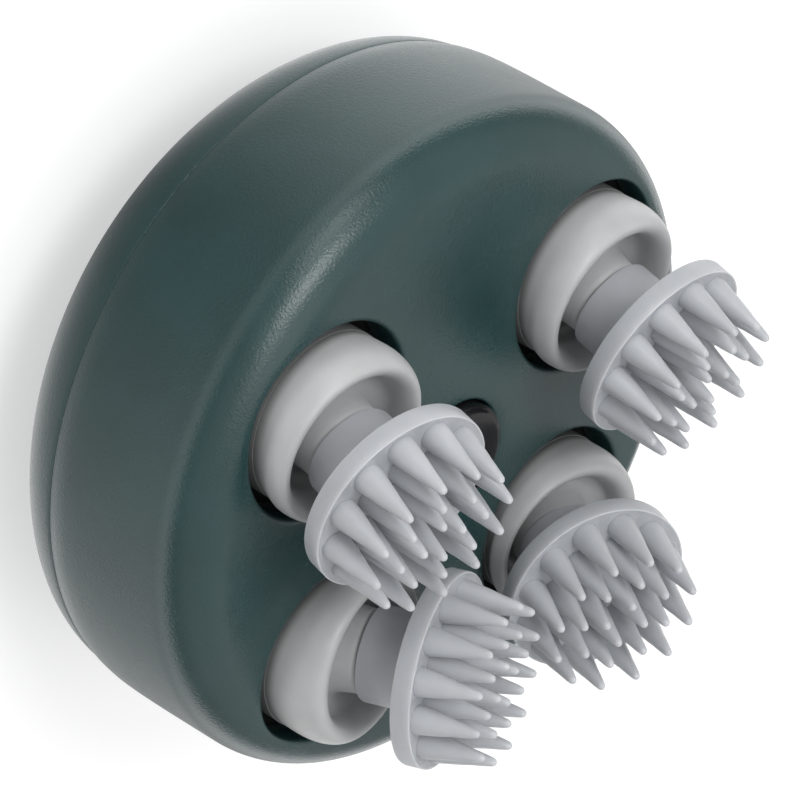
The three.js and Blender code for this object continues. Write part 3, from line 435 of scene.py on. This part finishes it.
def painted_shade_below(material, low, high, share):
    """Paints shade into a material: darkens it to a share of its colour, down from the high height to the low
    one.
    """
    tree = material.node_tree
    shader = tree.nodes["Principled BSDF"]
    full = shader.inputs["Base Color"].links[0].from_socket
    spot, parts = tree.nodes.new("ShaderNodeTexCoord"), tree.nodes.new("ShaderNodeSeparateXYZ")
    tree.links.new(spot.outputs["Object"], parts.inputs[0])
    painted_shade_node = tree.nodes.new("ShaderNodeVectorMath")
    painted_shade_node.operation = "SCALE"
    tree.links.new(full, painted_shade_node.inputs[0])
    tree.links.new(eased(tree, parts.outputs["Z"], low * mm, high * mm, share), painted_shade_node.inputs["Scale"])
    tree.links.new(painted_shade_node.outputs["Vector"], shader.inputs["Base Color"])


# Painted shade: the roots fade to nearly black below the drum, down in the gap.
painted_shade_below(root_silicone_painted_shade, low=46.4, high=47.6, share=0.034)
# Painted shade: the boots' drums darken towards the hole, where the gap lies in shade.
painted_shade_below(boot_silicone_painted_foot_shade, low=49.6, high=51.8, share=0.4)
boot_radius, boot_bore = 13.9, 12.8
boot_skin = 1.0
crest_height = 56.9
shoulder_height = 53.3
crest_radius = 12.5
mouth_radius = 10.3
neck_bore, neck_radius = 5.7, 6.6
neck_foot, neck_top = 2.8, 8.6
split_height, split_gap = 49.6, 0.03
shoulder = shoulder_height - nutation_height
crest = crest_height - shoulder_height
mouth_drop = 0.4
outer_width, mouth_width = boot_radius - crest_radius, crest_radius - mouth_radius
doughnut = arc((crest_radius, shoulder), (outer_width, crest), 0, 90, 10)
doughnut += arc((crest_radius, shoulder - mouth_drop), (mouth_width, crest + mouth_drop), 90, 180, 10)[1:]
# Radius, height above the point that the head swings about, and share of the head's lean.
boot_profile = [
    (boot_radius - 0.45, split_height - nutation_height, 0.0), (boot_radius - 0.4, 3.0, 0.08),
    (boot_radius - 0.27, 4.0, 0.16), (boot_radius - 0.09, 4.9, 0.26),
]
boot_profile += [(r, z, 0.33 + 0.37 * i / 20) for i, (r, z) in enumerate(doughnut)]
boot_profile += [
    (mouth_radius - 0.1, 4.9, 0.74), (mouth_radius - 0.3, 4.45, 0.78), (mouth_radius - 0.6, 4.1, 0.82),
    (mouth_radius - 1.1, 3.7, 0.86), (neck_radius + 1.9, 3.45, 0.9), (neck_radius + 1.1, 3.5, 0.93),
    (neck_radius + 0.6, 3.85, 0.95), (neck_radius + 0.25, 4.6, 0.97), (neck_radius + 0.08, 5.6, 0.99),
    (neck_radius, 6.5, 1.0), (neck_radius - 0.1, 7.4, 1.0), (neck_radius - 0.15, neck_top - 0.15, 1.0),
    (neck_radius - 0.3, neck_top, 1.0), (neck_bore, neck_top, 1.0), (neck_bore, neck_foot, 1.0),
    (8.9, neck_foot, 0.94), (mouth_radius + 0.6, 3.6, 0.82), (mouth_radius + 0.85, 4.6, 0.76),
]
hollow = arc((crest_radius, shoulder), (mouth_width - boot_skin, crest - boot_skin), 180, 90, 5)
hollow += arc((crest_radius, shoulder), (outer_width - boot_skin, crest - boot_skin), 90, 0, 5)[1:]
boot_profile += [(r, z, 0.68 - 0.35 * i / 10) for i, (r, z) in enumerate(hollow)]
boot_profile += [
    (boot_bore + 0.15, 4.0, 0.18), (boot_bore, 3.0, 0.08), (boot_bore, split_height - nutation_height, 0.0),
]
lean_shares = {(round(r, 3), round(z, 3)): share for r, z, share in boot_profile}
flange_floor, flange_top, flange_radius, flange_edge = 43.8, 45.1, 16.7, 0.3
drum_step, drum_foot, drum_radius = 14.4, 13.8, 13.6
for head, angle in head_angles.items():
    tilt, lean = head_lean[head]
    place = around(head_circle, angle)
    root = turned(f"boot_root_{head}_visual", [
        (boot_bore, flange_floor), (flange_radius - flange_edge, flange_floor),
        (flange_radius, flange_floor + flange_edge), (flange_radius, flange_top - flange_edge),
        (flange_radius - flange_edge, flange_top), (drum_step, flange_top), (drum_foot, flange_top + 0.3),
        (drum_radius, flange_top + 0.9), (drum_radius - 0.05, split_height - split_gap),
        (boot_bore, split_height - split_gap),
    ], root_silicone_painted_shade)
    root.data.transform(Matrix.Translation((place.x * mm, place.y * mm, 0)))
    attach(root, "housing")
    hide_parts(f"boot_root_{head}")
    boot = turned(f"boot_{head}_visual", [point[:2] for point in boot_profile], boot_silicone_painted_foot_shade, crease=50)
    lean_axis = Vector((-math.sin(math.radians(lean)), math.cos(math.radians(lean)), 0))
    for vertex in boot.data.vertices:
        radius, height = vertex.co.xy.length / mm, vertex.co.z / mm
        nearest = min(lean_shares, key=lambda point: abs(point[0] - radius) + abs(point[1] - height))
        share = lean_shares[nearest]
        vertex.co = Matrix.Rotation(math.radians(tilt * share), 3, lean_axis) @ vertex.co
    boot.data.transform(Matrix.Translation((place.x * mm, place.y * mm, nutation_height * mm)))
    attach(boot, f"crank_{head}")
    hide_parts(f"boot_{head}")

# Massage pads: a disc of light grey silicone with a thin raised lip, a sleeve that slips over
# the hub, and tapered cones in three rings. The cones have a rounded tip and a faint mould line
# a little past half their length.
pad_silicone = silicone(
    "pad_silicone", (0.455, 0.47, 0.495), roughness=0.42, softness=0.8, light_depth=2.0)
cone_turn = {"front_left": 45, "front_right": 32.7, "rear_right": 67.7, "rear_left": 81.9}
pad_back, pad_front, pad_radius = 17.7, 20.6, 14.9
hub_top, hub_rim_radius, hub_rim_foot, hub_radius = 19.7, 9.3, 18.4, 5.7
sleeve_foot, sleeve_radius = 8.8, 7.4
pad_profile = [
    (0, hub_top), (hub_rim_radius, hub_top), (hub_rim_radius, hub_rim_foot), (hub_radius, hub_rim_foot),
    (hub_radius, sleeve_foot), (sleeve_radius - 0.5, sleeve_foot),
    (sleeve_radius - 0.15, sleeve_foot + 0.15),
    (sleeve_radius, sleeve_foot + 0.5), (sleeve_radius, pad_back - 0.5),
    (sleeve_radius + 0.15, pad_back - 0.15), (sleeve_radius + 0.5, pad_back),
    (pad_radius - 0.3, pad_back), (pad_radius - 0.08, pad_back + 0.08), (pad_radius, pad_back + 0.3),
    (pad_radius, pad_front + 0.02), (pad_radius - 0.04, pad_front + 0.18),
    (pad_radius - 0.14, pad_front + 0.24), (pad_radius - 0.24, pad_front + 0.2),
    (pad_radius - 0.32, pad_front + 0.06), (pad_radius - 0.4, pad_front), (0, pad_front),
]


def float_curve(tree, source, points):
    """A smooth curve from 0-1 to 0-1 through the given points."""
    node = tree.nodes.new("ShaderNodeFloatCurve")
    curve = node.mapping.curves[0]
    curve.points[0].location, curve.points[1].location = points[0], points[-1]
    for x, y in points[1:-1]:
        curve.points.new(x, y)
    node.mapping.update()
    tree.links.new(source, node.inputs["Value"])
    return node.outputs["Value"]


def maths(tree, operation, first, second):
    """One step of arithmetic on two sockets or plain numbers."""
    node = tree.nodes.new("ShaderNodeMath")
    node.operation = operation
    for socket, value in zip(node.inputs, (first, second)):
        if isinstance(value, (int, float)):
            socket.default_value = value
        else:
            tree.links.new(value, socket)
    return node.outputs[0]


def cone_tree():
    """Joins rings of tapered cones to the disc it is given."""
    tree = bpy.data.node_groups.new("cone_rings", "GeometryNodeTree")
    panel = tree.interface
    panel.new_socket("Geometry", in_out="INPUT", socket_type="NodeSocketGeometry")
    panel.new_socket("Geometry", in_out="OUTPUT", socket_type="NodeSocketGeometry")
    settings = [
        ("Outer count", "NodeSocketInt", 12), ("Outer radius", "NodeSocketFloat", 11.7 * mm),
        ("Middle count", "NodeSocketInt", 8), ("Middle radius", "NodeSocketFloat", 7.45 * mm),
        ("Inner count", "NodeSocketInt", 4), ("Inner radius", "NodeSocketFloat", 3.4 * mm),
        ("Cone length", "NodeSocketFloat", 9.9 * mm), ("Cone base radius", "NodeSocketFloat", 2.22 * mm),
        ("Disc front", "NodeSocketFloat", pad_front * mm), ("Pattern turn", "NodeSocketFloat", 0.0),
    ]
    for label, kind, value in settings:
        panel.new_socket(label, in_out="INPUT", socket_type=kind).default_value = value
    panel.new_socket("Material", in_out="INPUT", socket_type="NodeSocketMaterial")
    given, result = tree.nodes.new("NodeGroupInput"), tree.nodes.new("NodeGroupOutput")

    def node(kind, **values):
        made = tree.nodes.new(kind)
        for label, value in values.items():
            setattr(made, label, value)
        return made

    def link(source, target):
        tree.links.new(source, target)

    rod = node("GeometryNodeMeshCylinder", fill_type="TRIANGLE_FAN")
    rod.inputs["Vertices"].default_value = 20
    rod.inputs["Side Segments"].default_value = 18
    rod.inputs["Radius"].default_value = 1.0
    rod.inputs["Depth"].default_value = 1.0
    spot, parts = node("GeometryNodeInputPosition"), node("ShaderNodeSeparateXYZ")
    link(spot.outputs[0], parts.inputs[0])
    along = maths(tree, "ADD", parts.outputs["Z"], 0.5)
    reach = float_curve(tree, along, [(0, 0), (0.06, 0.04), (0.5, 0.54), (0.85, 0.93), (0.94, 0.985), (1, 1)])
    width = float_curve(tree, reach, [
        (0, 1), (0.1, 0.975), (0.25, 0.875), (0.5, 0.675), (0.575, 0.61), (0.59, 0.588), (0.75, 0.46),
        (0.9, 0.335), (0.96, 0.265), (0.985, 0.18), (1, 0.03)])
    wide = maths(tree, "MULTIPLY", width, given.outputs["Cone base radius"])
    place = node("ShaderNodeCombineXYZ")
    link(maths(tree, "MULTIPLY", parts.outputs["X"], wide), place.inputs["X"])
    link(maths(tree, "MULTIPLY", parts.outputs["Y"], wide), place.inputs["Y"])
    sunk = 0.3 * mm
    height = maths(tree, "MULTIPLY", reach, maths(tree, "ADD", given.outputs["Cone length"], sunk))
    link(maths(tree, "SUBTRACT", height, sunk), place.inputs["Z"])
    shape = node("GeometryNodeSetPosition")
    link(rod.outputs["Mesh"], shape.inputs["Geometry"])
    link(place.outputs[0], shape.inputs["Position"])
    joined = node("GeometryNodeJoinGeometry")
    for ring in ("Outer", "Middle", "Inner"):
        circle = node("GeometryNodeMeshCircle")
        link(given.outputs[f"{ring} count"], circle.inputs["Vertices"])
        link(given.outputs[f"{ring} radius"], circle.inputs["Radius"])
        turn, lift = node("ShaderNodeCombineXYZ"), node("ShaderNodeCombineXYZ")
        link(given.outputs["Pattern turn"], turn.inputs["Z"])
        link(given.outputs["Disc front"], lift.inputs["Z"])
        seat = node("GeometryNodeTransform")
        link(circle.outputs["Mesh"], seat.inputs["Geometry"])
        link(turn.outputs[0], seat.inputs["Rotation"])
        link(lift.outputs[0], seat.inputs["Translation"])
        cones = node("GeometryNodeInstanceOnPoints")
        link(seat.outputs["Geometry"], cones.inputs["Points"])
        link(shape.outputs["Geometry"], cones.inputs["Instance"])
        link(cones.outputs["Instances"], joined.inputs["Geometry"])
    union = node("GeometryNodeMeshBoolean", operation="UNION", solver="EXACT")
    link(given.outputs["Geometry"], union.inputs["Mesh 2"])
    link(joined.outputs["Geometry"], union.inputs["Mesh 2"])
    real = node("GeometryNodeRealizeInstances")
    link(union.outputs["Mesh"], real.inputs["Geometry"])
    painted = node("GeometryNodeSetMaterial")
    link(real.outputs["Geometry"], painted.inputs["Geometry"])
    link(given.outputs["Material"], painted.inputs["Material"])
    link(painted.outputs["Geometry"], result.inputs["Geometry"])
    return tree


cone_rings = cone_tree()
sockets = {item.name: item.identifier for item in cone_rings.interface.items_tree if item.in_out == "INPUT"}
for head, angle in head_angles.items():
    tilt, lean = head_lean[head]
    pad = turned(f"massage_pad_{head}_visual", pad_profile, pad_silicone, sides=96, closed=False, crease=40)
    cones = pad.modifiers.new("cones", "NODES")
    cones.node_group = cone_rings
    cones[sockets["Pattern turn"]] = math.radians(cone_turn[head])
    cones[sockets["Material"]] = pad_silicone
    settle(pad, crease=40)
    place = around(head_circle, angle)
    stand = Matrix.Translation((place.x * mm, place.y * mm, nutation_height * mm))
    bend = Matrix.Rotation(math.radians(lean), 4, "Z") @ Matrix.Rotation(math.radians(tilt), 4, "Y")
    pad.data.transform(stand @ bend)
    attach(pad, f"head_{head}")
    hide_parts(f"massage_pad_{head}")

# Charging cap: a glossy black disc with a rounded edge, held by its flange from inside so that
# it stands a little above the face. Two small gold-plated contacts for the charger come through.
cap_gloss = grained("cap_gloss", (0.008, 0.008, 0.009), roughness=0.14, grain=900, depth=0.002 * mm)
cap_gloss.node_tree.nodes["Principled BSDF"].inputs["Specular IOR Level"].default_value = 0.3
contact_place, contact_hole = 3.2, 1.4
cap_floor, cap_top, cap_radius = 46.1, 53.1, 8.7
cap_flange, cap_flange_top, cap_flange_edge = 10.9, 48.1, 0.2
cap_roll, cap_flat, cap_roll_foot = 1.2, 7.45, 51.95
cap = turned("charging_cap_visual", [
    (0, cap_floor), (cap_flange - cap_flange_edge, cap_floor), (cap_flange, cap_floor + cap_flange_edge),
    (cap_flange, cap_flange_top - cap_flange_edge), (cap_flange - cap_flange_edge, cap_flange_top),
    (cap_radius, cap_flange_top), (cap_radius, cap_roll_foot),
    *arc((cap_radius - cap_roll, cap_roll_foot), (cap_roll, 1.08), 6, 66, 10),
    (cap_flat + 0.33, cap_top - 0.05), (cap_flat + 0.17, cap_top - 0.01), (cap_flat, cap_top), (0, cap_top),
], cap_gloss, sides=96, closed=False, crease=50)
cut_foot, cut_top = cap_floor - 1.1, cap_top + 0.9
for side in (-contact_place, contact_place):
    cutter = turned(
        "contact_cut", [(0, cut_foot), (contact_hole, cut_foot), (contact_hole, cut_top), (0, cut_top)],
        cap_gloss, sides=32, closed=False)
    cutter.data.transform(Matrix.Translation((side * mm, 0, 0)))
    hole = cap.modifiers.new("contact", "BOOLEAN")
    hole.operation = "DIFFERENCE"
    hole.solver = "EXACT"
    hole.object = cutter
settle(cap, crease=50)
for spare in [o for o in bpy.data.objects if o.name.startswith("contact_cut")]:
    bpy.data.objects.remove(spare)
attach(cap, "housing")
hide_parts("charging_cap")


def brushed(name, colour, roughness, scale):
    """Bare metal with fine uneven marks from its making."""
    material, tree, shader = nodes_of(name)
    shader.inputs["Metallic"].default_value = 1.0
    marks = object_noise(tree, scale, detail=5)
    dark = tuple(c * 0.88 for c in colour) + (1,)
    tree.links.new(stepped(tree, marks.outputs["Fac"], dark, colour + (1,)), shader.inputs["Base Color"])
    tree.links.new(
        stepped(tree, marks.outputs["Fac"], roughness * 0.8, roughness * 1.25), shader.inputs["Roughness"])
    return material


contact_gold = brushed("contact_gold", (0.78, 0.55, 0.22), roughness=0.25, scale=900)
contact_radius, contact_edge = 1.1, 0.3
for side, name in ((-contact_place, "left"), (contact_place, "right")):
    contact = turned(f"charging_contact_{name}_visual", [
        (0, cap_floor), (contact_radius, cap_floor), (contact_radius, cap_top),
        *arc((contact_radius - contact_edge, cap_top), (contact_edge, contact_edge), 0, 90, 5),
        (0, cap_top + contact_edge),
    ], contact_gold, sides=40, closed=False)
    contact.data.transform(Matrix.Translation((side * mm, 0, 0)))
    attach(contact, "housing")
    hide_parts(f"charging_contact_{name}")

# Power button and its light ring, in the middle of the dome: a dished cap in the housing's
# plastic inside a frosted ring that lights up. The button sits just below the rest face, so
# standing the massager down doesn't press it.
button_radius, button_edge, button_face, button_dish = 7.0, 0.45, 0.7, 1.0
button_flange, button_flange_foot, button_top, button_flange_edge = 8.8, 3.8, 4.8, 0.2
button = turned("power_button_visual", [
    (0, button_dish), (3.0, 0.96), (5.2, 0.82), (6.3, 0.71),
    *arc((button_radius - button_edge, button_face + button_edge), (button_edge, button_edge), -90, 0, 6),
    (button_radius, button_flange_foot), (button_flange - button_flange_edge, button_flange_foot),
    (button_flange, button_flange_foot + button_flange_edge),
    (button_flange, button_top - button_flange_edge),
    (button_flange - button_flange_edge, button_top), (0, button_top),
], housing_plastic, sides=96, closed=False)
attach(button, "power_button")
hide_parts("power_button")
frosted = silicone("frosted_ring", (0.72, 0.74, 0.74), roughness=0.3)
ring_bore, ring_radius, ring_edge, ring_face, ring_top = 7.3, 9.9, 0.3, 0.4, 1.8
light_ring = turned("button_light_ring_visual", [
    (ring_bore, ring_top), (ring_bore, ring_face + ring_edge),
    *arc((ring_bore + ring_edge, ring_face + ring_edge), (ring_edge, ring_edge), 180, 270, 5),
    *arc((ring_radius - ring_edge, ring_face + ring_edge), (ring_edge, ring_edge), 270, 360, 5),
    (ring_radius, ring_top),
], frosted, sides=96)
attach(light_ring, "housing")
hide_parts("button_light_ring")

# Inner works: they keep their CAD shapes and get their own materials. Gears and hubs are
# off-white moulded plastic, the pins, axle, screws and motor can are steel, the bushes bronze.
white_moulding = grained("white_moulding", (0.62, 0.60, 0.55), roughness=0.5, grain=1400, depth=0.01 * mm)
gear_moulding = grained("gear_moulding", (0.75, 0.74, 0.68), roughness=0.38, grain=1200, depth=0.006 * mm)
steel = brushed("steel", (0.56, 0.57, 0.58), roughness=0.3, scale=700)
bronze = brushed("bronze", (0.45, 0.29, 0.12), roughness=0.4, scale=600)
solder_mask = grained("solder_mask", (0.012, 0.11, 0.035), roughness=0.3, grain=500, depth=0.01 * mm)
cell_wrap = grained("cell_wrap", (0.035, 0.1, 0.32), roughness=0.35, grain=300, depth=0.02 * mm)
seal_rubber = grained("seal_rubber", (0.02, 0.02, 0.02), roughness=0.7, grain=2000, depth=0.01 * mm)
switch_black = grained("switch_black", (0.02, 0.02, 0.022), roughness=0.45, grain=2000, depth=0.008 * mm)
inner_finish = {
    "gearbox_base": white_moulding, "gearbox_cover": white_moulding, "head_hub": white_moulding,
    "drive_gear": gear_moulding, "crank_gear": gear_moulding, "crank_pin": steel, "drive_axle": steel,
    "drive_motor": steel, "motor_pinion": steel, "gearbox_screw": steel, "board_screw": steel,
    "crank_bearing": bronze, "main_board": solder_mask, "battery_pack": cell_wrap, "seal_ring": seal_rubber,
    "button_switch": switch_black,
}
for name, piece in frame["nodes"].items():
    for start, finish in inner_finish.items():
        if name.startswith(start):
            piece.data.materials.clear()
            piece.data.materials.append(finish)

# Floor: a plain pale table top that the flat ring stands on. It adds white for the camera, so
# that the background is white and the soft shadow stays. Three white cards, a black one and its
# bright far part show only in reflections.
floor_size = 3.0
floor = bpy.data.objects.new("floor", bpy.data.meshes.new("floor"))
floor.data.from_pydata(
    [(-floor_size, -floor_size, 0), (floor_size, -floor_size, 0), (floor_size, floor_size, 0),
     (-floor_size, floor_size, 0)], [], [(0, 1, 2, 3)])
bpy.context.scene.collection.objects.link(floor)
floor_paint, floor_tree, floor_shader = nodes_of("floor_paint")
floor_shader.inputs["Roughness"].default_value = 0.9
floor_shader.inputs["Specular IOR Level"].default_value = 0.1
rays = floor_tree.nodes.new("ShaderNodeLightPath")
in_reflections = rays.outputs["Is Glossy Ray"]
floor_place = floor_tree.nodes.new("ShaderNodeTexCoord").outputs["Object"]


def floor_vector(operation, source):
    """A vector node of the floor that works on the source."""
    node = floor_tree.nodes.new("ShaderNodeVectorMath")
    node.operation = operation
    floor_tree.links.new(source, node.inputs[0])
    return node


floor_way = floor_vector("NORMALIZE", floor_place).outputs["Vector"]
distance = floor_vector("LENGTH", floor_place).outputs["Value"]


def card(angle, strength, sharpness=2.0):
    """A card's share in the table's reflections, strongest towards the angle."""
    facing = floor_vector("DOT_PRODUCT", floor_way)
    facing.inputs[1].default_value = around(1, angle).to_3d()
    lobe = maths(floor_tree, "POWER", maths(floor_tree, "MAXIMUM", facing.outputs["Value"], 0.0), sharpness)
    return maths(floor_tree, "MULTIPLY", maths(floor_tree, "MULTIPLY", lobe, strength), in_reflections)


far_start, far_end, far_strength = 0.13, 0.2, 0.85
near_start, near_end = 0.062, 0.082
camera_white, table_grey = 0.5, 0.6
far_table = eased(floor_tree, distance, far_start, far_end, 0, far_strength)
near_table = eased(floor_tree, distance, near_start, near_end, 1, 0)
far_light = maths(floor_tree, "MULTIPLY", far_table, in_reflections)
near_card = maths(floor_tree, "MULTIPLY", card(200, strength=0.4), near_table)
far_cards = maths(floor_tree, "ADD", card(66, strength=1.2, sharpness=4.0), card(190, strength=0.5))
white_cards = maths(floor_tree, "ADD", far_cards, near_card)
seen = maths(floor_tree, "MULTIPLY", rays.outputs["Is Camera Ray"], camera_white)
glow = maths(floor_tree, "ADD", maths(floor_tree, "ADD", seen, white_cards), far_light)
floor_grey = maths(floor_tree, "SUBTRACT", table_grey, card(116, strength=0.42))
floor_tree.links.new(floor_grey, floor_shader.inputs["Base Color"])
floor_shader.inputs["Emission Color"].default_value = (1, 1, 1, 1)
floor_tree.links.new(glow, floor_shader.inputs["Emission Strength"])
floor.data.materials.append(floor_paint)

# Studio: white room light that is dimmer low down, and four large round soft lamps. The camera
# stands where the photograph was taken from.
world = bpy.data.worlds.new("studio")
bpy.context.scene.world = world
world.use_nodes = True
sky_tree = world.node_tree
sky_way, sky_parts = sky_tree.nodes.new("ShaderNodeTexCoord"), sky_tree.nodes.new("ShaderNodeSeparateXYZ")
sky_tree.links.new(sky_way.outputs["Object"], sky_parts.inputs[0])
low_sky, high_sky, low_strength, high_strength = 0.05, 0.5, 0.27, 0.8
sky_strength = eased(sky_tree, sky_parts.outputs["Z"], low_sky, high_sky, low_strength, high_strength)
background = sky_tree.nodes["Background"]
background.inputs["Color"].default_value = (1, 1, 1, 1)
sky_tree.links.new(sky_strength, background.inputs["Strength"])
lamp_aim = Vector((0, 0, 0.03))


def softbox(name, place, size, watts):
    """A round soft lamp aimed at the middle of the massager."""
    lamp = bpy.data.lights.new(name, "AREA")
    lamp.shape = "DISK"
    lamp.size = size
    lamp.energy = watts
    holder = bpy.data.objects.new(name, lamp)
    aim = lamp_aim - Vector(place)
    holder.matrix_world = Matrix.Translation(place) @ aim.to_track_quat("-Z", "Y").to_matrix().to_4x4()
    bpy.context.scene.collection.objects.link(holder)


softbox("top", (0.0, 0.0, 1.03), size=0.5, watts=0.6)
softbox("low_side", (-0.13, 0.942, 0.339), size=0.45, watts=1.8)
softbox("key", (-0.2, 0.61, 0.796), size=0.38, watts=3.3)
softbox("second_key", (-0.38, 0.27, 0.914), size=0.4, watts=0.6)

camera_data = bpy.data.cameras.new("camera")
camera_data.sensor_width = 36.0
camera_data.lens = 175.5
camera_data.clip_start = 0.01
camera = bpy.data.objects.new("camera", camera_data)
camera_place = Vector((-0.35642, 0.33647, 0.35721))
camera_right = Vector((0.68675, 0.04355, 0.72559))
camera_up = Vector((0.3909, 0.81946, -0.41915))
camera_back = Vector((-0.61284, 0.57148, 0.54574))
camera.matrix_world = Matrix.Translation(camera_place) @ Matrix(
    (camera_right, camera_up, camera_back)).transposed().to_4x4()
bpy.context.scene.collection.objects.link(camera)
bpy.context.scene.camera = camera
bpy.context.scene.view_settings.view_transform = "Standard"

bpy.context.view_layer.update()
